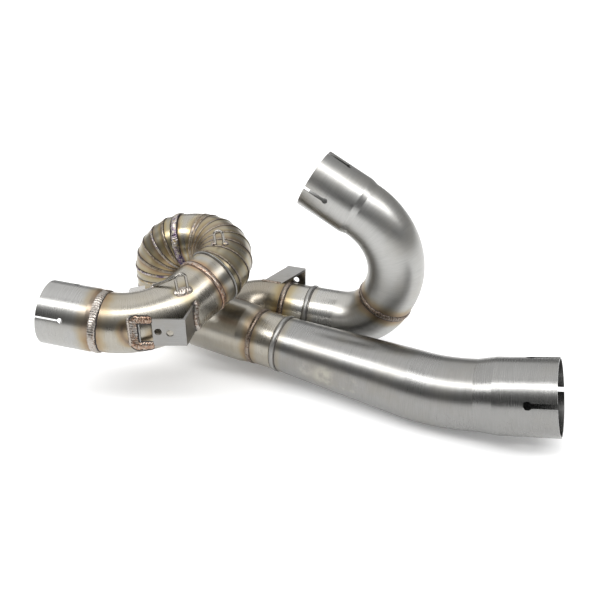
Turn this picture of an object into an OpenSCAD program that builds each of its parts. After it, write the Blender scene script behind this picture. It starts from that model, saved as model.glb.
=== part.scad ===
// Exhaust link pipe: a large outlet pipe, a collector, a mitred loop that ends
// in a front socket, and a rear branch that ends in a raised rear socket.
// Millimetres. X runs to the right, Y to the back, Z up.
// The origin is the centre of the outlet socket's mouth.

/* [Tubes] */
// Outside radius of the small tubes
tube_r = 25.4; // [25:0.1:26]
// Wall of the small tubes
wall = 1.2; // [1:0.1:1.5]
// Outside radius of the outlet pipe's bend
outlet_r = 30; // [29:0.5:31]
// Outside radius of the outlet socket
outlet_socket_r = 32; // [31.5:0.5:33]
// Wall of the outlet pipe
outlet_wall = 1.5; // [1.2:0.1:1.6]
// Outside radius of the front and rear sockets
socket_r = 26.9; // [26.7:0.1:27.3]

/* [Outlet pipe] */
// Length of the outlet socket's widened part
outlet_socket_len = 49; // [45:1:52]
// Length of the taper behind the outlet socket
outlet_taper_len = 15; // [12:1:18]
// Radius of the outlet pipe's shallow bend
outlet_bend_r = 210; // [200:5:220]
// Length of the long taper down to the sleeve
cone_len = 122; // [118:1:126]
// Length of the sleeve beside the collector
outlet_sleeve_len = 28; // [26:1:30]

/* [Collector] */
// Straight length of the collector's run
run_len = 73; // [71:1:75]
// Outside radius of the run where the branch joins it
run_r = 27.6; // [27.2:0.2:28]
// Length of the flare beside the sleeve
run_flare = 13; // [11:1:14]

/* [Loop] */
// Radius of the rising mitred bend
rise_r = 36; // [34:1:38]
// Mitre joints in the rising bend
rise_cuts = 6; // [6]
// Straight length between the rising and the back bend
back_len = 8; // [7:1:10]
// Radius of the mitred bend at the back
back_r = 30; // [29:1:32]
// Mitre joints in the back bend
back_cuts = 6; // [6]
// Straight length before the top bend
top_len = 4; // [3:1:6]
// Radius of the top bend
top_r = 35; // [34:1:37]
// Angle of the smooth part of the top bend
top_plain = 18; // [16:1:20]
// Mitre joints in the rest of the top bend
top_cuts = 7; // [7]

/* [Front pipe] */
// Length of the short sleeve after the loop
loop_sleeve_len = 15; // [14:1:16]
// Straight length before the front bend
front_len = 19; // [18:1:20]
// Radius of the front bend
front_r = 68; // [66:1:70]
// Length of the front socket
front_socket_len = 47; // [44:1:50]

/* [Rear pipe] */
// Length of the sleeve on the rear branch
rear_sleeve_len = 27; // [26:1:28]
// Straight length of the branch before it turns in
branch_len = 14; // [13:1:15]
// Radius of the branch's turn into the collector
branch_r = 36; // [35:1:37]
// Straight length before the lower rear bend
lower_len = 25; // [24:1:26]
// Radius of the lower rear bend
lower_r = 50; // [48:1:52]
// Straight length before the upper rear bend
upper_len = 9; // [8:1:10]
// Radius of the upper rear bend
upper_r = 62; // [60:1:64]
// Length of the rear socket
rear_socket_len = 50; // [47:1:53]

/* [Socket slots] */
// Length of the outlet socket's slots up to the hole's centre
outlet_slot_len = 22; // [20:1:26]
// Width of the outlet socket's slots
outlet_slot_w = 4; // [3:0.5:5]
// Diameter of the hole at the end of each outlet slot
outlet_slot_hole = 7; // [6:0.5:8]
// Length of the small sockets' slots up to the hole's centre
slot_len = 21; // [18:1:23]
// Width of the small sockets' slots
slot_w = 3; // [2.5:0.5:3.5]
// Diameter of the hole at the end of each small slot
slot_hole = 5; // [4.5:0.5:6]
// Width of the front socket's slots
front_slot_w = 1.5; // [1.5:0.5:3]

/* [Brackets and hooks] */
// Thickness of the folded brackets
sheet = 2; // [1.5:0.5:2.5]
// Diameter of the bracket holes
bracket_hole = 6; // [5:0.5:6.5]
// Radius of the spring hook wire
wire_r = 1.3; // [1.1:0.1:1.6]

/* [View] */
// Sub-part to draw, or all of them

/* [Hidden] */
$fn = 96;
steel = [0.72, 0.71, 0.69];
tinted = [0.66, 0.62, 0.55];
socket_taper = 6;

// heading from a turn about Z and a rise, both in degrees
function dir(a, p) = [cos(p) * cos(a), cos(p) * sin(a), sin(p)];
function unit(v) = v / norm(v);
// direction from a bend's start to its centre
function side(h, g) = unit(g - h * (h * g));
function turn(h, g) = acos(h * g);
function arc_at(p, h, c, r, t) = p + r * c * (1 - cos(t)) + r * h * sin(t);
function arc_dir(h, c, t) = h * cos(t) + c * sin(t);
// direction away from a bend's centre at angle t
function arc_out(h, c, t) = h * sin(t) - c * cos(t);
// corner number k of a bend that is mitred from angle a to angle b in n joints
function corner(p, h, c, r, a, b, n, k) =
  let (t = a + (b - a) * (k + 0.5) / n, q = r / cos((b - a) / (2 * n)))
    p + r * c + q * (h * sin(t) - c * cos(t));

// headings along the two chains
h_out = dir(159, -12);
h_run = dir(152, 2);
h_up = dir(150, 89);
h_over = dir(354, 6);
h_down = dir(231, -16);
h_front = dir(170, 6);
h_branch = dir(160, 0);
h_in = dir(252, -5);
h_low = dir(-20, 0);
h_mid = dir(-35, 65);
h_rear = dir(160, 28);

// stations along the main chain
p_mouth = [0, 0, 0];
p_bend = p_mouth + (outlet_socket_len + outlet_taper_len) * h_out;
c_out = side(h_out, h_run);
a_out = turn(h_out, h_run);
p_cone = arc_at(p_bend, h_out, c_out, outlet_bend_r, a_out);
p_sleeve = p_cone + cone_len * h_run;
p_run = p_sleeve + outlet_sleeve_len * h_run;
p_rise = p_run + run_len * h_run;
c_rise = side(h_run, h_up);
a_rise = turn(h_run, h_up);
p_back = arc_at(p_rise, h_run, c_rise, rise_r, a_rise) + back_len * h_up;
c_back = side(h_up, h_over);
a_back = turn(h_up, h_over);
p_top = arc_at(p_back, h_up, c_back, back_r, a_back) + top_len * h_over;
c_top = side(h_over, h_down);
a_top = turn(h_over, h_down);
p_plain = arc_at(p_top, h_over, c_top, top_r, top_plain);
h_plain = arc_dir(h_over, c_top, top_plain);
p_step = arc_at(p_top, h_over, c_top, top_r, a_top);
p_front = p_step + loop_sleeve_len * h_down;
p_curve = p_front + front_len * h_down;
c_front = side(h_down, h_front);
a_front = turn(h_down, h_front);
p_socket = arc_at(p_curve, h_down, c_front, front_r, a_front);
p_front_mouth = p_socket + front_socket_len * h_front;

// corner lists of the mitred loop
first_half = concat([p_run],
  [for (k = [0:rise_cuts - 1]) corner(p_rise, h_run, c_rise, rise_r, 0, a_rise, rise_cuts, k)],
  [for (k = [0:back_cuts - 1]) corner(p_back, h_up, c_back, back_r, 0, a_back, back_cuts, k)],
  [p_top]);
second_half = concat([p_plain],
  [for (k = [0:top_cuts - 1]) corner(p_top, h_over, c_top, top_r, top_plain, a_top, top_cuts, k)],
  [p_step]);

// stations along the rear chain
p_lower = [-192, 155, -9];
p_rear_bend = p_lower + lower_len * h_low;
c_low = side(h_low, h_mid);
a_low = turn(h_low, h_mid);
p_upper = arc_at(p_rear_bend, h_low, c_low, lower_r, a_low);
p_upper_bend = p_upper + upper_len * h_mid;
c_up = side(h_mid, h_rear);
a_up = turn(h_mid, h_rear);
p_rear_socket = arc_at(p_upper_bend, h_mid, c_up, upper_r, a_up);
p_rear_mouth = p_rear_socket + rear_socket_len * h_rear;
p_branch = p_lower + rear_sleeve_len * h_branch;
p_turn = p_branch + branch_len * h_branch;
c_in = side(h_branch, h_in);
a_in = turn(h_branch, h_in);
p_in = arc_at(p_turn, h_branch, c_in, branch_r, a_in);
// horizontal direction from the collector's axis to the branch
n_run = unit(cross(h_run, [0, 0, 1]));

// frame at p with Z along h, and with X along x where it is given
module along(p, h, from = undef) {
  x = from == undef ? unit(cross([0, 0, 1], h)) : from;
  y = cross(h, x);
  multmatrix([[x.x, y.x, h.x, p.x], [x.y, y.y, h.y, p.y], [x.z, y.z, h.z, p.z], [0, 0, 0, 1]])
    children();
}

// frame at p with X along h and Z along u, which is square to h
module facing(p, h, u) {
  y = cross(u, h);
  multmatrix([[h.x, y.x, u.x, p.x], [h.y, y.y, u.y, p.y], [h.z, y.z, u.z, p.z], [0, 0, 0, 1]])
    children();
}

// straight ring tube
module tube(p, h, l, r, w, from = undef)
  along(p, h, from) linear_extrude(l) difference() { circle(r); circle(r - w); }

// solid rod
module rod(p, h, l, r, from = undef)
  along(p, h, from) cylinder(h = l, r = r);

// frame of a bend about its centre, in the plane of the bend
module bend_frame(p, h, c, r) {
  z = cross(-c, h);
  o = p + r * c;
  multmatrix([[-c.x, h.x, z.x, o.x], [-c.y, h.y, z.y, o.y], [-c.z, h.z, z.z, o.z], [0, 0, 0, 1]])
    children();
}

module tube_bend(p, h, c, bend_r, a, r, w)
  bend_frame(p, h, c, bend_r)
    rotate_extrude(angle = a) translate([bend_r, 0]) difference() { circle(r); circle(r - w); }

module rod_bend(p, h, c, bend_r, a, r)
  bend_frame(p, h, c, bend_r)
    rotate_extrude(angle = a) translate([bend_r, 0]) circle(r);

// widened socket with its mouth at z = 0 and its small end at z = -l
module socket(l, taper, r0, r1, w)
  rotate_extrude()
    polygon([[r0 - w, -l], [r0, -l], [r1, taper - l], [r1, 0], [r1 - w, 0], [r1 - w, taper - l]]);

// four keyhole slots in from the mouth at z = 0
module slots(r, l, w, hole, a)
  for (i = [0:3]) rotate([0, 0, a + 90 * i]) {
    translate([r - 6, -w / 2, -l]) cube([12, w, l + 2]);
    translate([r - 6, 0, -l]) rotate([0, 90, 0]) cylinder(h = 12, r = hole / 2);
  }

// straight length number i of a mitred tube through the corners g
module mitred(g, i, r, w) {
  h = unit(g[i + 1] - g[i]);
  l = norm(g[i + 1] - g[i]);
  first = i == 0;
  last = i == len(g) - 2;
  ea = first ? 0 : 9;
  eb = last ? 0 : 9;
  na = first ? h : unit(h + unit(g[i] - g[i - 1]));
  nb = last ? h : unit(h + unit(g[i + 2] - g[i + 1]));
  difference() {
    tube(g[i] - ea * h, h, l + ea + eb, r, w);
    if (!first) along(g[i], na) translate([-60, -60, -40]) cube([120, 120, 40]);
    if (!last) along(g[i + 1], nb) translate([-60, -60, 0]) cube([120, 120, 40]);
  }
}

module outlet_socket() color(steel) difference() {
  along(p_mouth, -h_out)
    socket(outlet_socket_len + outlet_taper_len, outlet_taper_len, outlet_r, outlet_socket_r, outlet_wall);
  along(p_mouth, -h_out) slots(outlet_socket_r, outlet_slot_len, outlet_slot_w, outlet_slot_hole, 160);
}

module outlet_bend() color(steel)
  tube_bend(p_bend, h_out, c_out, outlet_bend_r, a_out, outlet_r, outlet_wall);

module outlet_cone() color(steel)
  along(p_cone, h_run) rotate_extrude()
    polygon([[outlet_r - outlet_wall, 0], [outlet_r, 0], [tube_r, cone_len], [tube_r - wall, cone_len]]);

module outlet_sleeve() color(steel)
  tube(p_sleeve, h_run, outlet_sleeve_len, tube_r, wall);

// outside of the collector's run as a solid, with l more at its far end
module run_core(l)
  along(p_run, h_run, -n_run) rotate_extrude()
    polygon([[0, 0], [tube_r, 0], [run_r, run_flare], [run_r, run_len - 6], [tube_r, run_len], [tube_r, run_len + l], [0, run_len + l]]);

module run_bore(l)
  along(p_run, h_run, -n_run) rotate_extrude()
    polygon([[0, 0], [tube_r - wall, 0], [run_r - wall, run_flare], [run_r - wall, run_len - 6], [tube_r - wall, run_len], [tube_r - wall, run_len + l], [0, run_len + l]]);

module collector_run() color(tinted) difference() {
  run_core(12);
  run_bore(12);
  along(first_half[1], unit(h_run + unit(first_half[2] - first_half[1]))) translate([-60, -60, 0]) cube([120, 120, 40]);
  rod_bend(p_turn, h_branch, c_in, branch_r, a_in, tube_r);
}

module branch_stub() color(tinted)
  tube(p_branch, h_branch, branch_len, tube_r, wall, -c_in);

module collector_branch() color(tinted)
  tube_bend(p_turn, h_branch, c_in, branch_r, a_in, tube_r, wall);

module rear_sleeve() color(steel)
  tube(p_lower, h_branch, rear_sleeve_len, tube_r, wall);

module rear_lower_tube() color(steel)
  tube(p_lower, h_low, lower_len, tube_r, wall);

module rear_lower_bend() color(steel)
  tube_bend(p_rear_bend, h_low, c_low, lower_r, a_low, tube_r, wall);

module rear_upper_bend() color(steel) {
  tube(p_upper, h_mid, upper_len, tube_r, wall, -c_up);
  tube_bend(p_upper_bend, h_mid, c_up, upper_r, a_up, tube_r, wall);
}

module rear_socket() color(steel)
  along(p_rear_mouth, h_rear) difference() {
    socket(rear_socket_len, socket_taper, tube_r, socket_r, wall);
    slots(socket_r, slot_len, slot_w, slot_hole, 0);
  }

module loop_cut_01() color(tinted) mitred(first_half, 1, tube_r, wall);
module loop_cut_02() color(tinted) mitred(first_half, 2, tube_r, wall);
module loop_cut_03() color(tinted) mitred(first_half, 3, tube_r, wall);
module loop_cut_04() color(tinted) mitred(first_half, 4, tube_r, wall);
module loop_cut_05() color(tinted) mitred(first_half, 5, tube_r, wall);
module loop_cut_06() color(tinted) mitred(first_half, 6, tube_r, wall);
module loop_cut_07() color(tinted) mitred(first_half, 7, tube_r, wall);
module loop_cut_08() color(tinted) mitred(first_half, 8, tube_r, wall);
module loop_cut_09() color(tinted) mitred(first_half, 9, tube_r, wall);
module loop_cut_10() color(tinted) mitred(first_half, 10, tube_r, wall);
module loop_cut_11() color(tinted) mitred(first_half, 11, tube_r, wall);
module loop_cut_12() color(tinted) mitred(first_half, 12, tube_r, wall);
module loop_plain() color(tinted)
  tube_bend(p_top, h_over, c_top, top_r, top_plain, tube_r, wall);
module loop_cut_13() color(tinted) mitred(second_half, 0, tube_r, wall);
module loop_cut_14() color(tinted) mitred(second_half, 1, tube_r, wall);
module loop_cut_15() color(tinted) mitred(second_half, 2, tube_r, wall);
module loop_cut_16() color(tinted) mitred(second_half, 3, tube_r, wall);
module loop_cut_17() color(tinted) mitred(second_half, 4, tube_r, wall);
module loop_cut_18() color(tinted) mitred(second_half, 5, tube_r, wall);
module loop_cut_19() color(tinted) mitred(second_half, 6, tube_r, wall);
module loop_cut_20() color(tinted) mitred(second_half, 7, tube_r, wall);

module loop_sleeve() color(steel)
  tube(p_step, h_down, loop_sleeve_len, tube_r, wall);

module front_bend() color(tinted) {
  tube(p_front, h_down, front_len, tube_r, wall, -c_front);
  tube_bend(p_curve, h_down, c_front, front_r, a_front, tube_r, wall);
}

module front_socket() color(steel)
  along(p_front_mouth, h_front) difference() {
    socket(front_socket_len, socket_taper, tube_r, socket_r, wall);
    slots(socket_r, slot_len, front_slot_w, slot_hole - 0.5, 20);
  }

// solid outside of the front bend
module front_core() {
  rod(p_front, h_down, front_len + 1, tube_r);
  rod_bend(p_curve, h_down, c_front, front_r, a_front, tube_r);
}

// folded strap on the near side of the front bend
module front_bracket() color(steel) difference() {
  translate([0, 0, 28]) linear_extrude(24) polygon([
    [-343, 32.5], [-297, 32.5], [-291.5, 66], [-291.5 - sheet, 66], [-297 - sheet, 32.5 + sheet],
    [-343 + sheet, 32.5 + sheet], [-343 + sheet, 50], [-343, 50]]);
  front_core();
  translate([-334, 25, 31]) cube([10, 16, 19]);
  translate([-319.5, 25, 41]) rotate([-90, 0, 0]) cylinder(h = 16, r = bracket_hole / 2);
  translate([-310, 25, 39.5]) rotate([-90, 0, 0]) cylinder(h = 16, r = bracket_hole / 2);
}

// small upright tab on the far side of the front bend
module back_tab() color(steel) {
  a = 37;
  h = arc_dir(h_down, c_front, a);
  u = unit(c_front * cos(a) - h_down * sin(a));
  v = cross(h, u);
  n = unit(u * cos(15) - v * sin(15));
  difference() {
    facing(arc_at(p_curve, h_down, c_front, front_r, a), h, n)
      translate([0, sheet / 2, 0]) rotate([90, 0, 0]) linear_extrude(sheet)
        polygon([[-8, 20], [6, 20], [6, 30], [4, 32], [-8, 32]]);
    front_core();
  }
}

// folded strap on top of the rear sleeve's joint with the branch
module rear_bracket() color(steel)
  facing(p_branch, -h_branch, [0, 0, 1]) difference() {
    intersection() {
      translate([-30, 0, 0]) rotate([90, 0, 90]) linear_extrude(42)
        polygon([[0, 25 - 1.1 * sheet], [0, 25], [23.6, 34.4], [25, 33], [25, 12],
          [25 - sheet, 12], [25 - sheet, 34.3 - 1.2 * sheet]]);
      linear_extrude(40) polygon([[-28, -1], [-9, -1], [9.5, 22], [9.5, 26], [-9.5, 26], [-9.5, 22]]);
    }
    translate([-60, 0, 0]) rotate([0, 90, 0]) cylinder(h = 120, r = tube_r);
    translate([0, 20, 20.5]) rotate([-90, 0, 0]) cylinder(h = 12, r = bracket_hole / 2);
  }

// bent wire with two feet, w apart and t tall, in the XZ plane
module hook(w, t) {
  for (s = [-1, 1]) translate([s * w / 2, 0, -1]) cylinder(h = t - w / 2 + 1, r = wire_r);
  translate([0, 0, t - w / 2]) rotate([90, 0, 0]) rotate_extrude(angle = 180) translate([w / 2, 0]) circle(wire_r);
}

module front_hook() color(steel) {
  f = unit([0.88, 0.47, 0.06]);
  g = unit([-0.05, 0.1, 1] - f * ([-0.05, 0.1, 1] * f));
  difference() {
    facing([-302.5, 64.5, 60.5], f, g) hook(9, 16);
    front_core();
  }
}

module loop_hook() color(steel) {
  f = unit([1, 0.05, 0.1]);
  g = unit([0.3, 0.1, 1] - f * ([0.3, 0.1, 1] * f));
  difference() {
    facing([-276, 116, 81], f, g) hook(7.5, 12);
    for (i = [4:6]) rod(second_half[i], unit(second_half[i + 1] - second_half[i]),
      norm(second_half[i + 1] - second_half[i]) + 4, tube_r);
  }
}

outlet_socket();
outlet_bend();
outlet_cone();
outlet_sleeve();
collector_run();
collector_branch();
branch_stub();
rear_sleeve();
rear_lower_tube();
rear_lower_bend();
rear_upper_bend();
rear_socket();
loop_cut_01();
loop_cut_02();
loop_cut_03();
loop_cut_04();
loop_cut_05();
loop_cut_06();
loop_cut_07();
loop_cut_08();
loop_cut_09();
loop_cut_10();
loop_cut_11();
loop_cut_12();
loop_plain();
loop_cut_13();
loop_cut_14();
loop_cut_15();
loop_cut_16();
loop_cut_17();
loop_cut_18();
loop_cut_19();
loop_cut_20();
loop_sleeve();
front_bend();
front_socket();
front_bracket();
back_tab();
rear_bracket();
front_hook();
loop_hook();
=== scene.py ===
import math
import random

import bpy
from mathutils import Matrix, Vector, noise


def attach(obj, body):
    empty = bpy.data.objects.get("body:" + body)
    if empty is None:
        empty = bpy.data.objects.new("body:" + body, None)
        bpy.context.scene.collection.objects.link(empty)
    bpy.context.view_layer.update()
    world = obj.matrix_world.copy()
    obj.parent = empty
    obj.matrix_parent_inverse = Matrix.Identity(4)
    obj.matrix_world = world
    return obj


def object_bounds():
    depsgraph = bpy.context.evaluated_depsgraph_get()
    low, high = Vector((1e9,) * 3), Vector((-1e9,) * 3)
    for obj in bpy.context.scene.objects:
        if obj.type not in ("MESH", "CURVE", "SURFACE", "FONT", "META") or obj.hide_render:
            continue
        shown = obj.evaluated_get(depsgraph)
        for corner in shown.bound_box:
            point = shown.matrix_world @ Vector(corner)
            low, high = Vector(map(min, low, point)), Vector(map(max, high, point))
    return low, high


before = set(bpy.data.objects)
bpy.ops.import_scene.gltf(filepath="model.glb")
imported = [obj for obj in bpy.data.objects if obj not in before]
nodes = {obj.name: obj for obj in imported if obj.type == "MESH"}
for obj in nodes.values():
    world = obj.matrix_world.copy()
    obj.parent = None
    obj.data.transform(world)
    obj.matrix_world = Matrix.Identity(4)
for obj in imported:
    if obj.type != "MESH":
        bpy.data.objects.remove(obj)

CAD_BOX = [[float(x) for x in c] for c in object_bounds()]
random.seed(7)
MM = 0.001
scene = bpy.context.scene
scene.view_settings.view_transform = "Standard"
scene.view_settings.look = "None"

# ---------------------------------------------------------------- camera
cam_data = bpy.data.cameras.new("camera")
cam_data.sensor_width = 36.0
cam_data.lens = 44.4
cam_data.clip_start = 0.01
cam_data.clip_end = 50.0
cam = bpy.data.objects.new("camera", cam_data)
scene.collection.objects.link(cam)
cam.location = (-0.2058, -0.4786, 0.3417)
cam.rotation_euler = (math.radians(62.0), 0.0, 0.0)
scene.camera = cam


# ---------------------------------------------------------------- route of the pipes, in mm
def d(a, p):
    a, p = math.radians(a), math.radians(p)
    return Vector((math.cos(p) * math.cos(a), math.cos(p) * math.sin(a), math.sin(p)))


class Bend:
    def __init__(self, p, h, g, r, a0=0.0, a1=None):
        self.p, self.h, self.r = p, h, r
        self.c = (g - h * h.dot(g)).normalized()
        self.full = math.acos(max(-1, min(1, h.dot(g))))
        self.o = p + self.c * r
        self.a0 = a0
        self.a1 = self.full if a1 is None else a1
        self.z = (-self.c).cross(h)

    def at(self, t):
        return self.o + self.h * (self.r * math.sin(t)) - self.c * (self.r * math.cos(t))

    def dir(self, t):
        return self.h * math.cos(t) + self.c * math.sin(t)

    def end(self):
        return self.at(self.full)

    def corner(self, a, b, n, k):
        t = a + (b - a) * (k + 0.5) / n
        q = self.r / math.cos((b - a) / (2 * n))
        return self.o + self.h * (q * math.sin(t)) - self.c * (q * math.cos(t))


R, RO, RS = 25.4, 30.0, 26.9
h_out, h_run, h_up, h_over = d(159, -12), d(152, 2), d(150, 89), d(354, 6)
h_down, h_front, h_branch, h_in = d(231, -16), d(170, 6), d(160, 0), d(252, -5)
h_low, h_mid, h_rear = d(-20, 0), d(-35, 65), d(160, 28)
p_mouth = Vector((0, 0, 0))
p_bend = p_mouth + h_out * 64
b_out = Bend(p_bend, h_out, h_run, 210)
p_cone = b_out.end()
p_sleeve = p_cone + h_run * 122
p_run = p_sleeve + h_run * 28
p_rise = p_run + h_run * 73
b_rise = Bend(p_rise, h_run, h_up, 36)
p_back = b_rise.end() + h_up * 8
b_back = Bend(p_back, h_up, h_over, 30)
p_top = b_back.end() + h_over * 4
b_top = Bend(p_top, h_over, h_down, 35)
PLAIN = math.radians(18)
p_plain = b_top.at(PLAIN)
p_step = b_top.end()
p_front = p_step + h_down * 15
p_curve = p_front + h_down * 19
b_front = Bend(p_curve, h_down, h_front, 68)
p_socket = b_front.end()
p_fm = p_socket + h_front * 47
p_lower = Vector((-192, 155, -9))
p_rb = p_lower + h_low * 25
b_low = Bend(p_rb, h_low, h_mid, 50)
p_upper = b_low.end()
p_ub = p_upper + h_mid * 9
b_up = Bend(p_ub, h_mid, h_rear, 62)
p_rs = b_up.end()
p_rm = p_rs + h_rear * 50
p_branch = p_lower + h_branch * 27
p_turn = p_branch + h_branch * 14
b_in = Bend(p_turn, h_branch, h_in, 36)

first = [p_run]
first += [b_rise.corner(0, b_rise.full, 6, k) for k in range(6)]
first += [b_back.corner(0, b_back.full, 6, k) for k in range(6)]
first += [p_top]
second = [p_plain]
second += [b_top.corner(PLAIN, b_top.full, 7, k) for k in range(7)]
second += [p_step]


# ---------------------------------------------------------------- node helpers
def new_mat(name):
    m = bpy.data.materials.new(name)
    m.use_nodes = True
    nt = m.node_tree
    for n in list(nt.nodes):
        nt.nodes.remove(n)
    out = nt.nodes.new("ShaderNodeOutputMaterial")
    bsdf = nt.nodes.new("ShaderNodeBsdfPrincipled")
    nt.links.new(bsdf.outputs[0], out.inputs[0])
    return m, nt, bsdf


class G:
    """Small helper that writes shader maths."""

    def __init__(self, nt):
        self.nt = nt

    def node(self, kind, **kw):
        n = self.nt.nodes.new(kind)
        for k, v in kw.items():
            setattr(n, k, v)
        return n

    def put(self, socket, v):
        if hasattr(v, "is_linked") or hasattr(v, "node"):
            self.nt.links.new(v, socket)
        else:
            socket.default_value = v

    def m(self, op, a, b=0.0, c=None, clamp=False):
        n = self.node("ShaderNodeMath", operation=op, use_clamp=clamp)
        self.put(n.inputs[0], a)
        self.put(n.inputs[1], b)
        if c is not None:
            self.put(n.inputs[2], c)
        return n.outputs[0]

    def v(self, op, a, b=(0, 0, 0)):
        n = self.node("ShaderNodeVectorMath", operation=op)
        self.put(n.inputs[0], a)
        self.put(n.inputs[1], b)
        return n.outputs["Value"] if op in ("DOT_PRODUCT", "LENGTH", "DISTANCE") else n.outputs["Vector"]

    def pos(self):
        return self.node("ShaderNodeTexCoord").outputs["Object"]

    def noise(self, vec, scale, detail=3.0, rough=0.55, dim="3D"):
        n = self.node("ShaderNodeTexNoise")
        self.put(n.inputs["Vector"], vec)
        n.inputs["Scale"].default_value = scale
        n.inputs["Detail"].default_value = detail
        n.inputs["Roughness"].default_value = rough
        return n.outputs["Fac"]

    def ramp(self, fac, stops, mode="LINEAR"):
        n = self.node("ShaderNodeValToRGB")
        n.color_ramp.interpolation = mode
        el = n.color_ramp.elements
        while len(el) > 1:
            el.remove(el[-1])
        el[0].position = stops[0][0]
        el[0].color = (*stops[0][1], 1)
        for p, c in stops[1:]:
            e = el.new(p)
            e.color = (*c, 1)
        self.put(n.inputs[0], fac)
        return n.outputs[0]

    def mix(self, f, a, b, blend="MIX"):
        n = self.node("ShaderNodeMix", data_type="RGBA", blend_type=blend)
        self.put(n.inputs[0], f)
        self.put(n.inputs[6], a if not isinstance(a, tuple) else (*a, 1))
        self.put(n.inputs[7], b if not isinstance(b, tuple) else (*b, 1))
        return n.outputs[2]

    def rng(self, x, a, b, lo=0.0, hi=1.0, smooth=True):
        n = self.node("ShaderNodeMapRange")
        n.interpolation_type = "SMOOTHSTEP" if smooth else "LINEAR"
        self.put(n.inputs[0], x)
        n.inputs[1].default_value = a
        n.inputs[2].default_value = b
        n.inputs[3].default_value = lo
        n.inputs[4].default_value = hi
        return n.outputs[0]


def vec(v, s=MM):
    return (v.x * s, v.y * s, v.z * s)


STEEL = (0.35, 0.348, 0.338)
WARM = (0.36, 0.34, 0.298)
PIPE = (0.265, 0.263, 0.256)
REAR = (0.42, 0.418, 0.405)
BRANCH = (0.28, 0.255, 0.215)

# colours that heat leaves beside a weld, from the weld outward
TINTS = {
    "brown": [(0.0, (0.109, 0.082, 0.066)), (0.12, (0.172, 0.117, 0.078)), (0.30, (0.281, 0.195, 0.117)), (0.58, (0.359, 0.289, 0.187)), (1.0, (0.359, 0.335, 0.281))],
    "gold": [(0.0, (0.140, 0.113, 0.094)), (0.14, (0.234, 0.172, 0.109)), (0.34, (0.359, 0.289, 0.164)), (0.62, (0.390, 0.343, 0.234)), (1.0, (0.374, 0.351, 0.296))],
    "copper": [(0.0, (0.125, 0.066, 0.047)), (0.16, (0.296, 0.156, 0.094)), (0.34, (0.374, 0.242, 0.140)), (0.6, (0.390, 0.328, 0.234)), (1.0, (0.374, 0.351, 0.304))],
    "blue": [(0.0, (0.172, 0.164, 0.156)), (0.12, (0.062, 0.086, 0.133)), (0.28, (0.125, 0.101, 0.125)), (0.44, (0.265, 0.187, 0.101)), (0.66, (0.390, 0.343, 0.211)), (1.0, (0.367, 0.343, 0.281))],
}


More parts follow.
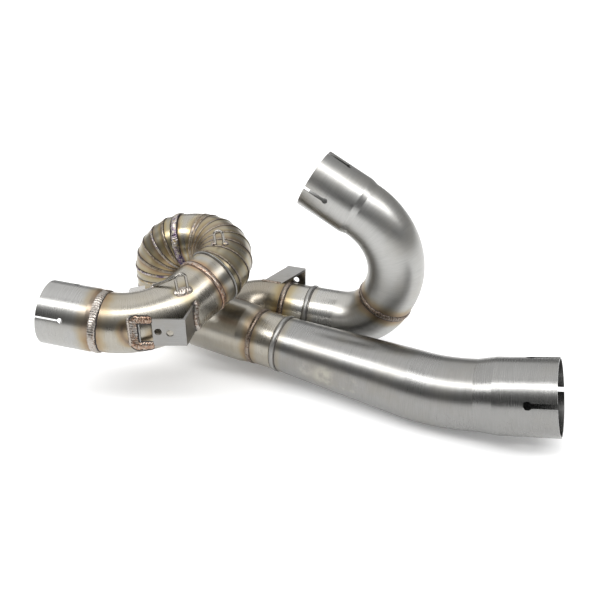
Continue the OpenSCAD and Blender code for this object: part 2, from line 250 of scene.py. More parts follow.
def tube_material(name, base, joints=(), axis=None, bend=None, rough=0.30, streak=1.0, warm=0.0, plane=False, blotch=1.0, inner_shade=None, smudge=()):
    """Brushed steel. joints is a list of (point mm, normal, radius mm, tint, reach mm, strength)."""
    m, nt, bsdf = new_mat(name)
    g = G(nt)
    P = g.pos()
    # coordinates: a runs along the pipe, q is across it
    if bend is not None:
        rel = g.v("SUBTRACT", P, vec(bend.o))
        x = g.v("DOT_PRODUCT", rel, tuple(-bend.c))
        y = g.v("DOT_PRODUCT", rel, tuple(bend.h))
        zz = g.v("DOT_PRODUCT", rel, tuple(bend.z))
        a = g.m("MULTIPLY", g.m("ARCTAN2", y, x), bend.r * MM)
        rad = g.m("SQRT", g.m("ADD", g.m("MULTIPLY", x, x), g.m("MULTIPLY", y, y)))
        u, w = rad, zz
    else:
        ax = axis.normalized()
        s1 = ax.cross(Vector((0, 0, 1)))
        s1 = s1.normalized() if s1.length > 0.05 else Vector((1, 0, 0))
        s2 = ax.cross(s1).normalized()
        a = g.v("DOT_PRODUCT", P, tuple(ax))
        u = g.v("DOT_PRODUCT", P, tuple(s1))
        w = g.v("DOT_PRODUCT", P, tuple(s2))

    def coords(ka, kq):
        n = g.node("ShaderNodeCombineXYZ")
        g.put(n.inputs[0], g.m("MULTIPLY", a, ka))
        g.put(n.inputs[1], g.m("MULTIPLY", u, kq))
        g.put(n.inputs[2], g.m("MULTIPLY", w, kq))
        return n.outputs[0]

    fine = g.noise(coords(2600.0, 60.0), 1.0, 4.0, 0.7)      # turned and brushed lines round the pipe
    mid = g.noise(coords(420.0, 35.0), 1.0, 3.0, 0.6)
    along = g.noise(coords(18.0, 520.0), 1.0, 3.0, 0.6)      # faint drawing marks along the pipe
    cloud = g.noise(P, 26.0, 4.0, 0.6)
    spots = g.noise(P, 150.0, 3.0, 0.65)

    dark = tuple(c * 0.91 for c in base)
    light = tuple(min(1, c * 1.07) for c in base)
    col = g.mix(g.rng(fine, 0.32, 0.68), dark, light)
    col = g.mix(g.m("MULTIPLY", g.rng(mid, 0.35, 0.7), 0.22), col, tuple(c * 1.06 for c in base))
    col = g.mix(g.m("MULTIPLY", g.rng(cloud, 0.42, 0.72), 0.45 * blotch), col, (base[0] * 0.93, base[1] * 0.86, base[2] * 0.74))
    col = g.mix(g.m("MULTIPLY", g.rng(spots, 0.60, 0.78), 0.30 * blotch), col, tuple(c * 0.72 for c in base))

    for (spt, srad, scol, sk) in smudge:
        dd = g.v("DISTANCE", P, vec(spt))
        fac = g.m("MULTIPLY", g.rng(dd, srad * MM, srad * 0.15 * MM), g.rng(g.noise(P, 60.0, 3.0, 0.6), 0.42, 0.62))
        col = g.mix(g.m("MULTIPLY", fac, sk), col, scol)
    # darkens the inner wall of a socket mouth by a given factor: painted shade inside the pipe
    if inner_shade is not None:
        ipt, irad, inside_shade, t0, t1 = inner_shade
        rel = g.v("SUBTRACT", P, vec(ipt))
        t = g.v("DOT_PRODUCT", rel, tuple(axis.normalized()))
        ln = g.v("LENGTH", rel)
        perp = g.m("SQRT", g.m("MAXIMUM", g.m("SUBTRACT", g.m("MULTIPLY", ln, ln), g.m("MULTIPLY", t, t)), 1e-9))
        inside = g.rng(perp, (irad + 0.2) * MM, (irad - 0.2) * MM)
        inside = g.m("MULTIPLY", inside, g.m("MULTIPLY", g.rng(t, t0 * MM, (t0 + 2) * MM), g.rng(t, t1 * MM, (t1 - 2) * MM)))
        col = g.mix(inside, col, tuple(c * inside_shade for c in base))
    rough_add = None
    for i, (pt, nrm, rad_mm, tint, reach, strength) in enumerate(joints):
        rel = g.v("SUBTRACT", P, vec(pt))
        t = g.v("DOT_PRODUCT", rel, tuple(nrm))
        if plane:
            dist = g.m("ABSOLUTE", t)
        else:
            ln = g.v("LENGTH", rel)
            perp = g.m("SQRT", g.m("MAXIMUM", g.m("SUBTRACT", g.m("MULTIPLY", ln, ln), g.m("MULTIPLY", t, t)), 1e-9))
            off = g.m("SUBTRACT", perp, rad_mm * MM)
            dist = g.m("SQRT", g.m("ADD", g.m("MULTIPLY", t, t), g.m("MULTIPLY", off, off)))
        wob = g.noise(P, 70.0 + 13 * i, 2.0, 0.5)
        fac = g.m("DIVIDE", dist, g.m("MULTIPLY", g.m("ADD", g.m("MULTIPLY", wob, 1.0), 0.55), reach * MM))
        tc = g.ramp(fac, TINTS[tint])
        keep = g.m("MULTIPLY", g.rng(fac, 0.45, 1.25, 1.0, 0.0), strength)
        patch = g.rng(g.noise(P, 38.0 + 9 * i, 2.0, 0.5), 0.28, 0.60, 0.62, 1.0)
        keep = g.m("MULTIPLY", keep, patch)
        lined = g.mix(0.35, tc, col, "OVERLAY")
        col = g.mix(keep, col, lined)
        rough_add = keep if rough_add is None else g.m("MAXIMUM", rough_add, keep)
    g.put(bsdf.inputs["Base Color"], col)
    bsdf.inputs["Metallic"].default_value = 1.0
    r = g.m("ADD", g.m("MULTIPLY", fine, 0.10), rough - 0.05)
    r = g.m("ADD", r, g.m("MULTIPLY", g.m("SUBTRACT", cloud, 0.5), 0.16))
    if rough_add is not None:
        r = g.m("ADD", r, g.m("MULTIPLY", rough_add, 0.05))
    g.put(bsdf.inputs["Roughness"], r)
    # brushed relief and very shallow hand waviness
    b1 = g.node("ShaderNodeBump")
    b1.inputs["Strength"].default_value = 0.13 * streak
    b1.inputs["Distance"].default_value = 0.00012
    g.put(b1.inputs["Height"], g.m("ADD", fine, g.m("MULTIPLY", along, 0.5)))
    b2 = g.node("ShaderNodeBump")
    b2.inputs["Strength"].default_value = 0.30
    b2.inputs["Distance"].default_value = 0.0005
    g.put(b2.inputs["Height"], g.noise(P, 55.0, 2.0, 0.45))
    nt.links.new(b2.outputs[0], b1.inputs["Normal"])
    nt.links.new(b1.outputs[0], bsdf.inputs["Normal"])
    return m


def bead_material(name, stops, rough=0.28):
    m, nt, bsdf = new_mat(name)
    g = G(nt)
    P = g.pos()
    f = g.noise(P, 420.0, 3.0, 0.65)
    big = g.noise(P, 60.0, 2.0, 0.5)
    mixf = g.m("ADD", g.m("MULTIPLY", f, 0.6), g.m("MULTIPLY", big, 0.4))
    col = g.ramp(g.rng(mixf, 0.30, 0.70, smooth=False), stops)
    g.put(bsdf.inputs["Base Color"], col)
    bsdf.inputs["Metallic"].default_value = 1.0
    g.put(bsdf.inputs["Roughness"], g.m("ADD", g.m("MULTIPLY", f, 0.18), rough - 0.08))
    b = g.node("ShaderNodeBump")
    b.inputs["Strength"].default_value = 0.5
    b.inputs["Distance"].default_value = 0.0001
    g.put(b.inputs["Height"], g.noise(P, 1800.0, 2.0, 0.6))
    nt.links.new(b.outputs[0], bsdf.inputs["Normal"])
    return m


BEADS = {
    "silver": bead_material("bead_silver", [(0.0, (0.10, 0.07, 0.05)), (0.3, (0.24, 0.19, 0.155)), (0.6, (0.44, 0.41, 0.375)), (0.85, (0.32, 0.28, 0.25)), (1.0, (0.50, 0.48, 0.46))]),
    "copper": bead_material("bead_copper", [(0.0, (0.112, 0.064, 0.048)), (0.3, (0.304, 0.192, 0.136)), (0.55, (0.400, 0.312, 0.248)), (0.8, (0.496, 0.472, 0.448)), (1.0, (0.320, 0.288, 0.264))]),
    "brown": bead_material("bead_brown", [(0.0, (0.080, 0.060, 0.048)), (0.35, (0.192, 0.144, 0.112)), (0.7, (0.288, 0.248, 0.208)), (1.0, (0.176, 0.152, 0.160))]),
    "loop": bead_material("bead_loop", [(0.0, (0.080, 0.064, 0.060)), (0.25, (0.208, 0.160, 0.112)), (0.5, (0.320, 0.280, 0.216)), (0.75, (0.176, 0.152, 0.160)), (1.0, (0.288, 0.240, 0.168))]),
    "blue": bead_material("bead_blue", [(0.0, (0.056, 0.080, 0.144)), (0.3, (0.160, 0.104, 0.160)), (0.5, (0.480, 0.456, 0.416)), (0.75, (0.320, 0.232, 0.112)), (1.0, (0.104, 0.144, 0.160))]),
    "lip": bead_material("bead_lip", [(0.0, (0.26, 0.255, 0.245)), (1.0, (0.34, 0.335, 0.32))], 0.38),
}


# near-black material for thin rings that paint the shade at weld toes and in joint gaps
def joint_shade_material():
    m, nt, bsdf = new_mat("joint_shadow")
    g = G(nt)
    f = g.noise(g.pos(), 300.0, 2.0, 0.5)
    g.put(bsdf.inputs["Base Color"], g.ramp(f, [(0.3, (0.020, 0.018, 0.016)), (0.7, (0.06, 0.05, 0.045))]))
    bsdf.inputs["Metallic"].default_value = 0.2
    g.put(bsdf.inputs["Roughness"], g.m("ADD", g.m("MULTIPLY", f, 0.3), 0.45))
    return m


JOINT_SHADE = joint_shade_material()


# ---------------------------------------------------------------- beads and wires as geometry
def add_mesh(name, verts, faces, mat, smooth=True):
    me = bpy.data.meshes.new(name)
    me.from_pydata([tuple(v * MM) for v in verts], [], faces)
    me.validate()
    me.materials.append(mat)
    for p in me.polygons:
        p.use_smooth = smooth
    ob = bpy.data.objects.new(name, me)
    scene.collection.objects.link(ob)
    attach(ob, "root")
    return ob


def resample(pts, ups, step, closed):
    n = len(pts)
    segs = n if closed else n - 1
    acc = [0.0]
    for i in range(segs):
        acc.append(acc[-1] + (pts[(i + 1) % n] - pts[i]).length)
    total = acc[-1]
    count = max(8, int(round(total / step)))
    out_p, out_u = [], []
    j = 0
    m = count if closed else count + 1
    for k in range(m):
        s = total * k / count
        while j < segs - 1 and acc[j + 1] < s:
            j += 1
        f = (s - acc[j]) / max(1e-9, acc[j + 1] - acc[j])
        a, b = pts[j], pts[(j + 1) % n]
        ua, ub = ups[j], ups[(j + 1) % n]
        out_p.append(a.lerp(b, f))
        out_u.append(ua.lerp(ub, f).normalized())
    return out_p, out_u, total


def bead(name, pts, ups, width, height, pitch, mat, closed=True, ripple=0.30, sink=0.25, slot="fitting_steel", wob=0.10, steps=6, cols=9, seed=0.0):
    """A weld bead like a row of overlapping coins, laid along pts with its crown towards ups."""
    P, U, total = resample(pts, ups, pitch / steps, closed)
    n = len(P)
    if closed:
        pitch = total / max(1, round(total / pitch))
    verts, faces = [], []
    for i in range(n):
        a = P[(i - 1) % n] if (closed or i > 0) else P[i]
        b = P[(i + 1) % n] if (closed or i < n - 1) else P[i]
        T = (b - a).normalized()
        up = (U[i] - T * T.dot(U[i])).normalized()
        S = T.cross(up)
        arc = total * i / (n if closed else n - 1)
        e = 1.0
        if not closed:
            e = min(1.0, arc / (0.5 * width) + 0.02, (total - arc) / (0.5 * width) + 0.02)
            e = math.sqrt(max(0.0, 1 - (1 - e) ** 2))
        n1 = noise.noise(P[i] * 0.35 + Vector((seed, 0, 0)))
        n2 = noise.noise(P[i] * 0.9 + Vector((0, seed, 3)))
        w = width * (1 + wob * n1) * (0.35 + 0.65 * e)
        for k in range(cols):
            s = -1 + 2 * k / (cols - 1)
            ph = (arc / pitch + 0.42 * s * s + 0.15 * n2) % 1.0
            rip = (1 - ph) ** 0.6
            prof = math.sqrt(max(0.0, 1 - abs(s) ** 2.2))
            hh = height * prof * e * ((1 - ripple) + ripple * rip) * (1 + 0.5 * wob * n2)
            edge = 1.0 + 0.05 * math.cos(2 * math.pi * ph) * (1 if ripple > 0 else 0)
            verts.append(P[i] + S * (s * w * 0.5 * edge) + up * (hh - sink))
    rows = n if closed else n - 1
    for i in range(rows):
        for k in range(cols - 1):
            a = i * cols + k
            b = ((i + 1) % n) * cols + k
            faces.append((a, a + 1, b + 1, b))
    # underside closes the bead, so each piece is a whole solid
    base = len(verts)
    for i in range(n):
        a = verts[i * cols]
        b = verts[i * cols + cols - 1]
        verts.append((a + b) * 0.5 - U[i] * 0.35)
    for i in range(rows):
        j = (i + 1) % n
        faces.append((i * cols, j * cols, base + j, base + i))
        faces.append((j * cols + cols - 1, i * cols + cols - 1, base + i, base + j))
    if not closed:
        faces.append(tuple([base] + [k for k in range(cols - 1, -1, -1)]))
        faces.append(tuple([base + n - 1] + [(n - 1) * cols + k for k in range(cols)]))
    return add_mesh(name, verts, faces, mat)


def ring(c, h, n, r, count=160):
    """Where the plane through c square to n cuts a pipe of radius r along h."""
    x = h.cross(Vector((0, 0, 1)))
    x = x.normalized() if x.length > 0.02 else Vector((1, 0, 0))
    y = h.cross(x)
    pts, ups = [], []
    for i in range(count):
        t = 2 * math.pi * i / count
        e = x * math.cos(t) + y * math.sin(t)
        k = -r * e.dot(n) / h.dot(n)
        pts.append(c + e * r + h * k)
        ups.append(e)
    return pts, ups


def ring_bead(name, c, h, r, width, height, pitch, mat, n=None, **kw):
    pts, ups = ring(c, h, n if n is not None else h, r)
    return bead(name, pts, ups, width, height, pitch, mat, True, **kw)


def wear(node, mat):
    ob = nodes[node]
    ob.data.materials.clear()
    ob.data.materials.append(mat)


J = {
    "R2": (p_sleeve, h_run, R, "gold", 7, 0.35),
    "R1": (p_run, h_run, R, "brown", 9, 0.8),
    "C": (p_front, h_down, R, "copper", 9, 0.95),
    "S": (p_step, h_down, R, "gold", 6, 0.4),
    "L1": (p_socket, h_front, R, "brown", 14, 1.0),
    "Q1": (p_branch, h_branch, R, "gold", 15, 0.95),
    "Q2": (p_lower, h_branch, R, "gold", 6, 0.3),
    "W": (p_upper, h_mid, R, "brown", 12, 0.9),
}

wear("outlet_socket", tube_material("steel_outlet_socket", PIPE, axis=h_out, rough=0.27, blotch=0.5, inner_shade=(p_mouth, 31.1, 0.65, -3, 47)))
wear("outlet_bend", tube_material("steel_outlet_bend", PIPE, bend=b_out, rough=0.29, blotch=0.6))
wear("outlet_cone", tube_material("steel_outlet_cone", PIPE, [J["R2"]], axis=h_run, rough=0.30, blotch=0.9, smudge=[
    (p_sleeve - h_run * 52 + Vector((-14, -24, -2)), 16, (0.47, 0.45, 0.38), 0.6),
    (p_sleeve - h_run * 76 + Vector((-14, -25, -4)), 15, (0.50, 0.47, 0.39), 0.6),
    (p_sleeve - h_run * 34 + Vector((-14, -22, 0)), 11, (0.45, 0.43, 0.38), 0.5)]))
wear("outlet_sleeve", tube_material("steel_outlet_sleeve", WARM, [J["R2"], J["R1"]], axis=h_run, rough=0.28))
wear("collector_run", tube_material("steel_collector_run", WARM, [J["R1"]], axis=h_run, rough=0.32, blotch=1.3))
wear("branch_stub", tube_material("steel_branch_stub", BRANCH, [J["Q1"]], axis=h_branch, rough=0.27, blotch=1.2))
wear("collector_branch", tube_material("steel_collector_branch", BRANCH, [J["Q1"]], bend=b_in, rough=0.27, blotch=1.2))
wear("rear_sleeve", tube_material("steel_rear_sleeve", REAR, [J["Q1"], J["Q2"]], axis=h_branch, rough=0.26))
wear("rear_lower_tube", tube_material("steel_rear_lower_tube", REAR, [J["Q2"]], axis=h_low, rough=0.26, blotch=0.6))
wear("rear_lower_bend", tube_material("steel_rear_lower_bend", REAR, [J["W"]], bend=b_low, rough=0.32, blotch=0.6))
wear("rear_upper_bend", tube_material("steel_rear_upper_bend", REAR, [J["W"]], bend=b_up, rough=0.36, blotch=0.7))
wear("rear_socket", tube_material("steel_rear_socket", REAR, axis=h_rear, rough=0.33, blotch=0.5, inner_shade=(p_rs, 26.2, 0.45, 12, 54)))
wear("loop_sleeve", tube_material("steel_loop_sleeve", STEEL, [J["C"], J["S"]], axis=h_down, rough=0.27))
wear("front_bend", tube_material("steel_front_bend", WARM, [J["C"], J["L1"],
     (Vector((-337, 34, 40)), Vector((0, -1, 0)), 12, "brown", 7, 0.8),
     (Vector((-302, 64, 60)), Vector((0.2, -0.5, 0.85)), 4, "gold", 8, 0.7),
     (Vector((-294, 58, 41)), Vector((1, 0, 0)), 10, "gold", 7, 0.6)], bend=b_front, rough=0.27))
wear("front_socket", tube_material("steel_front_socket", STEEL, [J["L1"]], axis=h_front, rough=0.27, blotch=0.6, inner_shade=(p_socket, 26.2, 0.25, 12, 51)))


LOOP = (0.29, 0.27, 0.218)


def seg_mat(name, pts, i, tints, strength, base=LOOP):
    h = (pts[i + 1] - pts[i]).normalized()
    js = []
    if i > 0:
        js.append((pts[i], (h + (pts[i] - pts[i - 1]).normalized()).normalized(), R, tints[0], 7.0, min(1, strength[0] + 0.15)))
    if i < len(pts) - 2:
        js.append((pts[i + 1], (h + (pts[i + 2] - pts[i + 1]).normalized()).normalized(), R, tints[1], 7.0, min(1, strength[1] + 0.15)))
    return tube_material(name, base, js, axis=h, rough=0.28, plane=True, blotch=1.2)


order = ["gold", "brown", "gold", "brown", "blue", "brown", "gold", "brown", "gold", "brown", "gold", "blue", "gold", "gold"]
power = [0.5, 0.8, 0.6, 0.9, 0.7, 0.6, 0.85, 0.7, 0.8, 0.6, 0.85, 0.9, 0.9, 0.5]
for i in range(1, 13):
    wear("loop_cut_%02d" % i, seg_mat("steel_loop_%02d" % i, first, i, (order[i - 1], order[i]), (power[i - 1], power[i])))
order2 = ["gold", "brown", "gold", "brown", "gold", "brown", "gold", "gold", "gold"]
power2 = [0.9, 0.7, 0.8, 0.6, 0.7, 0.6, 0.5, 0.4, 0.3]
for i in range(8):
    wear("loop_cut_%02d" % (13 + i), seg_mat("steel_loop_%02d" % (13 + i), second, i, (order2[i], order2[i + 1]), (power2[i], power2[i + 1])))
wear("loop_plain", tube_material("steel_loop_plain", WARM, [
    (p_plain, b_top.dir(PLAIN), R, "gold", 8, 0.95)], bend=b_top, rough=0.25, blotch=0.6))
wear("loop_cut_12", tube_material("steel_loop_smooth", WARM, [
    (first[12], ((first[12] - first[11]).normalized() + h_over).normalized(), R, "blue", 8, 1.0)], axis=h_over, rough=0.25, plane=True, blotch=0.6))

sheet_mat = tube_material("steel_sheet", (0.28, 0.277, 0.27), axis=Vector((0, 0, 1)), rough=0.34, streak=0.6)
wire_mat = tube_material("steel_wire", (0.34, 0.325, 0.30), axis=Vector((0, 0, 1)), rough=0.24, streak=0.4)
wear("front_bracket", sheet_mat)
wear("back_tab", sheet_mat)
wear("rear_bracket", sheet_mat)
wear("front_hook", wire_mat)
wear("loop_hook", wire_mat)

# ---------------------------------------------------------------- weld beads round the pipes
ring_bead("weld_front_socket", p_socket, h_front, R, 7.4, 1.7, 2.2, BEADS["silver"], seed=1.0, sink=0.2, ripple=0.55, wob=0.16, cols=13)
# the wider near-black rings under the front socket weld and the rear bend weld paint the shade along their toes
ring_bead("under_front_socket", p_socket, h_front, R, 9.2, 0.32, 3.0, JOINT_SHADE, ripple=0.0, sink=0.1, wob=0.12, cols=7, seed=1.0)
ring_bead("under_rear_bend", p_upper, h_mid, R, 6.8, 0.28, 3.0, JOINT_SHADE, ripple=0.0, sink=0.1, wob=0.12, cols=7, seed=5.0)
ring_bead("weld_loop_sleeve", p_front, h_down, R, 4.2, 1.25, 1.5, BEADS["copper"], seed=2.0)
ring_bead("weld_outlet_sleeve", p_run, h_run, R, 4.4, 1.2, 1.7, BEADS["brown"], seed=3.0)
ring_bead("weld_rear_sleeve", p_branch, h_branch, R, 5.0, 1.35, 1.8, BEADS["brown"], seed=4.0)
ring_bead("weld_rear_bend", p_upper, h_mid, R, 5.0, 1.2, 2.4, BEADS["brown"], seed=5.0, ripple=0.55, wob=0.25)
# smooth rolled lips with a near-black ring each side, painted shade in the joint gap and at the lip's edge
def rolled(tag, c, h, w, side):
    ring_bead("lip_" + tag, c + h * (side * (w / 2 + 0.3)), h, R, w, 1.25, 3.0, BEADS["lip"], ripple=0.0, wob=0.02, sink=0.1, cols=13)
    ring_bead("gap_" + tag + "_a", c - h * (side * 0.35), h, R, 1.0, 0.24, 3.0, JOINT_SHADE, ripple=0.0, wob=0.0, sink=0.05, cols=5)
    ring_bead("gap_" + tag + "_b", c + h * (side * (w + 0.7)), h, R, 0.7, 0.20, 3.0, JOINT_SHADE, ripple=0.0, wob=0.0, sink=0.05, cols=5)


rolled("outlet", p_sleeve, h_run, 4.6, 1)
rolled("rear", p_lower, h_branch, 4.2, 1)
rolled("step", p_step, h_down, 1.6, -1)
# near-black rings just beside the run, branch and front welds paint the shade at the bead toes
for tag, c, h in (("run", p_run, h_run), ("branch", p_branch, h_branch), ("front", p_front, h_down)):
    for sgn in (-1, 1):
        ring_bead("line_%s_%s" % (tag, "ab"[sgn > 0]), c + h * (sgn * 2.6), h, R, 0.8, 0.20, 3.0, JOINT_SHADE, ripple=0.0, wob=0.05, sink=0.05, cols=5)

# beads on the mitre joints of the loop, each with a thin near-black ring beside it that paints the shade at the bead
# toe
def mitre_bead(tag, c, ha, hb, w, hh, mat, seed):
    n = (ha + hb).normalized()
    ring_bead("weld_mitre_" + tag, c, ha, R, w, hh, 1.3, mat, n=n, seed=seed, cols=7, sink=0.12, wob=0.25, ripple=0.4)
    ring_bead("line_mitre_" + tag, c + n * (w * 0.5 + 0.35), ha, R + 0.02, 0.9, 0.22, 3.0, JOINT_SHADE, n=n, ripple=0.0, wob=0.3, sink=0.06, cols=5, seed=seed + 5)


for i in range(1, 12):
    ha = (first[i] - first[i - 1]).normalized()
    hb = (first[i + 1] - first[i]).normalized()
    mitre_bead("%02d" % i, first[i], ha, hb, 1.9 + 0.35 * (i % 3), 0.55, BEADS["blue" if i in (6, 7, 10) else "loop"], 10.0 + i)
for i in range(1, 8):
    ha = (second[i] - second[i - 1]).normalized()
    hb = (second[i + 1] - second[i]).normalized()
    mitre_bead("%02d" % (20 + i), second[i], ha, hb, 1.7 + 0.3 * (i % 2), 0.5, BEADS["loop"], 40.0 + i)
n12 = ((first[12] - first[11]).normalized() + h_over).normalized()
h12 = (first[12] - first[11]).normalized()
ring_bead("weld_plain_left", first[12] - n12 * 0.8, h12, R, 6.2, 1.2, 2.1, BEADS["blue"], n=n12, seed=60.0, wob=0.3, ripple=0.5, cols=11)
# near-black ring under the left plain weld paints the shade along its toes
ring_bead("under_plain_left", first[12] - n12 * 0.8, h12, R, 8.0, 0.3, 3.0, JOINT_SHADE, n=n12, ripple=0.0, sink=0.1, cols=7, wob=0.1)
ring_bead("weld_plain_right", p_plain, b_top.dir(PLAIN), R, 3.0, 0.8, 1.5, BEADS["loop"], seed=61.0, wob=0.2)

# seam where the branch runs into the collector
RUN_R = 27.6
pts, ups = [], []
for k in range(180):
    f = 2 * math.pi * k / 180
    hit = None
    for q in range(0, 400):
        t = b_in.full * q / 399
        ctr = b_in.at(t)
        dr = b_in.dir(t)
        outw = (ctr - b_in.o).normalized()
        e = outw * math.cos(f) + b_in.z * math.sin(f)
        X = ctr + e * R
        rel = X - p_run
        s = rel.dot(h_run)
        dist = (rel - h_run * s).length
        if dist <= RUN_R:
            hit = (X, (e + (rel - h_run * s).normalized()).normalized())
            break
    if hit is None:
        hit = (X, e)
    pts.append(hit[0])
    ups.append(hit[1])
bead("weld_branch", pts, ups, 4.2, 1.5, 1.8, BEADS["brown"], True, seed=70.0, sink=0.5, ripple=0.45)
# near-black band under the branch weld paints the shade along its toes
bead("under_branch", pts, ups, 6.4, 0.5, 3.0, JOINT_SHADE, True, seed=70.0, sink=0.3, ripple=0.0, cols=7)


# ---------------------------------------------------------------- welds of the brackets and hooks
def front_surface(x, z, side=-1.0):
    """Point and normal on the near side of the front bend, at a given x and z in mm."""
    best = None
    for q in range(0, 260):
        y = 10 + q * 0.4
        X = Vector((x, y, z))
        rel = X - b_front.o
        zz = rel.dot(b_front.z)
        pl = rel - b_front.z * zz
        t = math.atan2(pl.dot(b_front.h), pl.dot(-b_front.c))
        if t >= 0:
            ctr = b_front.at(min(t, b_front.full))
        else:
            s = (X - p_curve).dot(h_down)
            ctr = p_curve + h_down * s
        if (X - ctr).length <= R:
            return X, (X - ctr).normalized()
    return Vector((x, 50, z)), Vector((0, -1, 0))


def on_front(pairs):
    P, U = [], []
    for x, z in pairs:
        X, n = front_surface(x, z)
        P.append(X)
        U.append(n)
    return P, U


def line(a, b, n):
    return [(a[0] + (b[0] - a[0]) * i / n, a[1] + (b[1] - a[1]) * i / n) for i in range(n + 1)]


# C-shaped weld on the left end of the front bracket, above, beside and below its window
def corner_arc(cx, cz, r, a0, a1, n=7):
    return [(cx + r * math.cos(math.radians(a0 + (a1 - a0) * i / n)), cz + r * math.sin(math.radians(a0 + (a1 - a0) * i / n))) for i in range(n + 1)]


path = line((-323.5, 51.8), (-335.5, 52.2), 10) + corner_arc(-335.8, 48.9, 3.3, 90, 180) + line((-339.1, 48.0), (-339.1, 32.0), 10) + corner_arc(-335.8, 31.1, 3.3, 180, 270) + line((-335.0, 27.8), (-323.5, 28.6), 10)
P = [Vector((x, 32.3, z)) for x, z in path]
U = [Vector((0.0, -1.0, 0.12)).normalized()] * len(P)
bead("weld_bracket_left", P, U, 6.8, 2.5, 2.2, BEADS["copper"], False, seed=80.0, sink=0.5, wob=0.22, ripple=0.6, cols=15)
# near-black band under the C weld paints the shade along its toes
bead("under_bracket_left", P, U, 8.6, 0.35, 3.0, JOINT_SHADE, False, seed=80.0, sink=0.2, wob=0.1, ripple=0.0, cols=7)
P = [Vector((x - 0.4, 33.4, z)) for x, z in line((-343.2, 27.0), (-343.2, 53.0), 16)]
bead("weld_bracket_edge", P, [Vector((-0.8, -0.6, 0)).normalized()] * len(P), 4.5, 1.6, 1.9, BEADS["silver"], False, seed=82.0, sink=0.8, wob=0.18, cols=9)
# curved weld where the bracket's return meets the pipe
P, U = [], []
for i in range(25):
    z = 26.5 + (54 - 26.5) * i / 24
    lo = None
    for q in range(0, 200):
        y = 34 + q * 0.2
        x = -297 + (y - 32.5) * (5.5 / 33.5)
        X = Vector((x, y, z))
        s = (X - p_front).dot(h_down)
        ctr = p_front + h_down * s
        rel = X - b_front.o
        pl = rel - b_front.z * rel.dot(b_front.z)
        t = math.atan2(pl.dot(b_front.h), pl.dot(-b_front.c))
        if t > 0:
            ctr = b_front.at(t)
        if (X - ctr).length <= R:
            lo = (X, (X - ctr).normalized())
            break
    if lo:
        P.append(lo[0] + Vector((0.9, -0.3, 0)))
        U.append((lo[1] + Vector((0.8, -0.2, 0))).normalized())
bead("weld_bracket_right", P, U, 6.6, 2.7, 2.0, BEADS["silver"], False, seed=81.0, sink=0.3, wob=0.15)
# near-black band under the curved weld paints the shade along its toes
bead("under_bracket_right", P, U, 9.0, 0.5, 3.0, JOINT_SHADE, False, seed=81.0, sink=0.3, ripple=0.0, cols=7)


def surf_point(curve_o, X, r=R):
    n = (X - curve_o).normalized()
    return curve_o + n * r, n


def pad(name, a, b, up, width, height, mat, seed):
    n = 16
    P = [a.lerp(b, i / n) for i in range(n + 1)]
    bead(name, P, [up] * (n + 1), width, height, 2.0, mat, False, seed=seed, sink=0.6, ripple=0.22, wob=0.3)


# front hook feet
f = Vector((0.88, 0.47, 0.06)).normalized()
c0 = Vector((-302.5, 64.5, 60.5))
up0 = Vector((0.25, -0.55, 0.80)).normalized()
g0 = up0.cross(f).normalized()
pad("weld_front_hook", c0 - f * 8.5 + up0 * 0.3, c0 + f * 8.5 + up0 * 0.3, up0, 8.5, 3.0, BEADS["silver"], 90.0)
pad("weld_front_hook_b", c0 - f * 7.0 - g0 * 2.4 + up0 * 0.2, c0 + f * 5.0 - g0 * 2.4 + up0 * 0.2, up0, 4.0, 2.4, BEADS["copper"], 95.0)
# the hook's long leg, out to the top of the front pipe
def wire(name, path, r, mat, sides=14):
    pts, _, total = resample(path, [Vector((0, 0, 1))] * len(path), 0.8, False)
    verts, faces = [], []
    n = len(pts)
    for i, c in enumerate(pts):
        T = (pts[min(i + 1, n - 1)] - pts[max(i - 1, 0)]).normalized()
        x = T.cross(Vector((0.2, -1, 0.3))).normalized()
        y = T.cross(x)
        for k in range(sides):
            t = 2 * math.pi * k / sides
            verts.append(c + (x * math.cos(t) + y * math.sin(t)) * r)
    for i in range(n - 1):
        for k in range(sides):
            q = (k + 1) % sides
            faces.append((i * sides + k, i * sides + q, (i + 1) * sides + q, (i + 1) * sides + k))
    faces.append(tuple(range(sides - 1, -1, -1)))
    faces.append(tuple(range((n - 1) * sides, n * sides)))
    return add_mesh(name, verts, faces, mat)


def smooth_path(ctrl, n=24):
    out = []
    for i in range(len(ctrl) - 1):
        p0, p1, p2, p3 = ctrl[max(i - 1, 0)], ctrl[i], ctrl[i + 1], ctrl[min(i + 2, len(ctrl) - 1)]
        for k in range(n):
            t = k / n
            out.append(0.5 * ((2 * p1) + (p2 - p0) * t + (2 * p0 - 5 * p1 + 4 * p2 - p3) * t * t + (3 * p1 - p0 - 3 * p2 + p3) * t ** 3))
    out.append(ctrl[-1])
    return out


cam_mm = Vector((-205.8, -478.6, 341.7))


def crest(t, lift):
    o = b_front.at(t)
    h = b_front.dir(t)
    e = h.cross((cam_mm - o).normalized()).normalized()
    e = e if e.z > 0 else -e
    e = (e + (cam_mm - o).normalized() * 0.28).normalized()
    return o + e * (R + lift), e


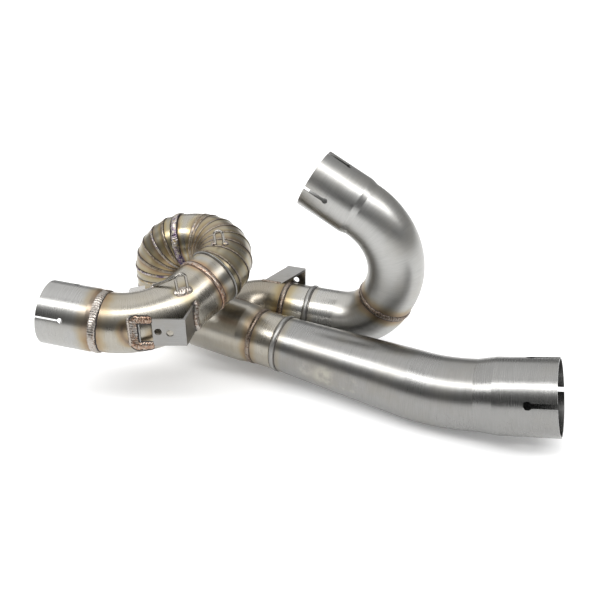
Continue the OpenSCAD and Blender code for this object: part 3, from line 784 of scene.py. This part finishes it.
g1 = (Vector((-0.05, 0.1, 1)) - f * f.dot(Vector((-0.05, 0.1, 1)))).normalized()
apex = c0 + g1 * 14.6
k3, e3 = crest(math.radians(19), 0.9)
wire("hook_long_leg", smooth_path([apex + f * 1.5, apex - f * 1.5 + g1 * 0.5, apex.lerp(k3, 0.35), apex.lerp(k3, 0.7), k3]), 1.3, wire_mat)
k4, e4 = crest(math.radians(22), 0.2)
k5, e5 = crest(math.radians(11), 0.2)
pad("weld_long_leg", k5, k4, ((e4 + e5) / 2).normalized(), 4.6, 2.0, BEADS["blue"], 97.0)
mid = (first[6] + first[7]) / 2
ring_bead("weld_mitre_mid", mid, (first[7] - first[6]).normalized(), R, 2.4, 0.6, 1.3, BEADS["blue"], seed=33.0, cols=7, sink=0.12, wob=0.25, ripple=0.4)
# thin near-black ring beside this bead paints the shade at its toe
ring_bead("line_mitre_mid", mid + (first[7] - first[6]).normalized() * 1.6, (first[7] - first[6]).normalized(), R + 0.02, 0.9, 0.22, 3.0, JOINT_SHADE, ripple=0.0, wob=0.3, sink=0.06, cols=5, seed=34.0)

# loop hook feet
def on_loop(X, lift=0.3):
    best = None
    for i in range(8):
        a, b = second[i], second[i + 1]
        ab = b - a
        t = max(0, min(1, (X - a).dot(ab) / ab.length_squared))
        c = a + ab * t
        k = (X - c).length
        if best is None or k < best[0]:
            best = (k, c)
    n = (X - best[1]).normalized()
    return best[1] + n * (R + lift), n


for tag, x, mat in (("a", -281.5, "silver"), ("b", -271.0, "blue")):
    A, n1 = on_loop(Vector((x - 2.6, 114.5, 82)))
    B, n2 = on_loop(Vector((x + 2.6, 117.5, 82)))
    n = (n1 + n2).normalized()
    pad("weld_loop_hook_" + tag, A, B, n, 5.2, 2.8, BEADS[mat], 91.0 + x)
# rear bracket: weld along its foot
X1 = -h_branch
Y1 = Vector((0, 0, 1)).cross(X1)
P = []
for i in range(25):
    x = -28.5 + 20.5 * i / 24
    P.append(p_branch + X1 * x + Y1 * 1.2 + Vector((0, 0, 25.35)))
bead("weld_rear_bracket", P, [(Y1 * -0.3 + Vector((0, 0, 1))).normalized()] * len(P), 4.0, 1.6, 1.8, BEADS["brown"], False, seed=93.0, sink=0.5)
# back tab: weld at its foot
ta = math.radians(37)
hc = b_front.dir(ta)
uc = (b_front.c * math.cos(ta) - b_front.h * math.sin(ta)).normalized()
vc = hc.cross(uc)
nc = (uc * math.cos(math.radians(15)) - vc * math.sin(math.radians(15))).normalized()
P = []
U = []
for i in range(21):
    x = -8 + 14 * i / 20
    t = ta + x / 68.0
    ctr = b_front.at(t)
    ht = b_front.dir(t)
    ut = (b_front.c * math.cos(t) - b_front.h * math.sin(t)).normalized()
    vt = ht.cross(ut)
    nn = (ut * math.cos(math.radians(15)) - vt * math.sin(math.radians(15))).normalized()
    P.append(ctr + nn * (R + 0.1))
    U.append(nn)
bead("weld_back_tab", P, U, 5.0, 1.5, 1.8, BEADS["brown"], False, seed=94.0, sink=0.4)

# ---------------------------------------------------------------- floor, light
low = CAD_BOX[0][2]
fm = bpy.data.meshes.new("floor")
S = 8.0
fm.from_pydata([(-S, -S, low - 0.0004), (S, -S, low - 0.0004), (S, S, low - 0.0004), (-S, S, low - 0.0004)], [], [(0, 1, 2, 3)])
floor = bpy.data.objects.new("floor", fm)
scene.collection.objects.link(floor)
m, nt, bsdf = new_mat("floor_white")
g = G(nt)
g.put(bsdf.inputs["Base Color"], g.ramp(g.noise(g.pos(), 3.0, 2.0, 0.5), [(0.3, (0.90, 0.90, 0.90)), (0.7, (0.92, 0.92, 0.92))]))
bsdf.inputs["Roughness"].default_value = 0.9
bsdf.inputs["Specular IOR Level"].default_value = 0.1
bsdf.inputs["Emission Color"].default_value = (1, 1, 1, 1)
bsdf.inputs["Emission Strength"].default_value = 0.20
fm.materials.append(m)


def sun(name, az, el, strength, angle):
    s = bpy.data.lights.new(name, "SUN")
    s.energy = strength
    s.angle = math.radians(angle)
    o = bpy.data.objects.new(name, s)
    scene.collection.objects.link(o)
    frm = d(az, el)
    o.rotation_euler = (-frm).to_track_quat("-Z", "Y").to_euler()
    return o


# a long strip softbox above and in front, as a row of overlapping discs
for i, x in enumerate((-1.0, -0.68, -0.38, -0.08, 0.22, 0.54, 0.88)):
    v = Vector((x, -0.375, 0.927)).normalized()
    sun("strip_%d" % i, math.degrees(math.atan2(v.y, v.x)), math.degrees(math.asin(v.z)), 0.43, 18)
sun("back", 122, 50, 0.85, 70)

w = bpy.data.worlds.new("studio")
scene.world = w
w.use_nodes = True
nt = w.node_tree
for n in list(nt.nodes):
    nt.nodes.remove(n)
out = nt.nodes.new("ShaderNodeOutputWorld")
bg = nt.nodes.new("ShaderNodeBackground")
nt.links.new(bg.outputs[0], out.inputs[0])
g = G(nt)
D = g.node("ShaderNodeTexCoord").outputs["Generated"]
upw = g.v("DOT_PRODUCT", D, (0, 0, 1))
frontw = g.v("DOT_PRODUCT", D, (0, -1, 0))
front_side = g.ramp(g.rng(upw, -0.3, 1.0, smooth=False), [(0.0, (0.08, 0.08, 0.08)), (0.46, (0.08, 0.08, 0.08)), (0.66, (0.24, 0.24, 0.24)), (0.85, (0.66, 0.66, 0.66)), (1.0, (0.66, 0.66, 0.66))])
back_side = g.ramp(g.rng(upw, -0.3, 1.0, smooth=False), [(0.0, (0.34, 0.34, 0.34)), (0.4, (0.34, 0.34, 0.34)), (0.8, (0.42, 0.42, 0.42)), (1.0, (0.66, 0.66, 0.66))])
col = g.mix(g.rng(frontw, -0.25, 0.45), back_side, front_side)
g.put(bg.inputs["Color"], col)
bg.inputs["Strength"].default_value = 1.0
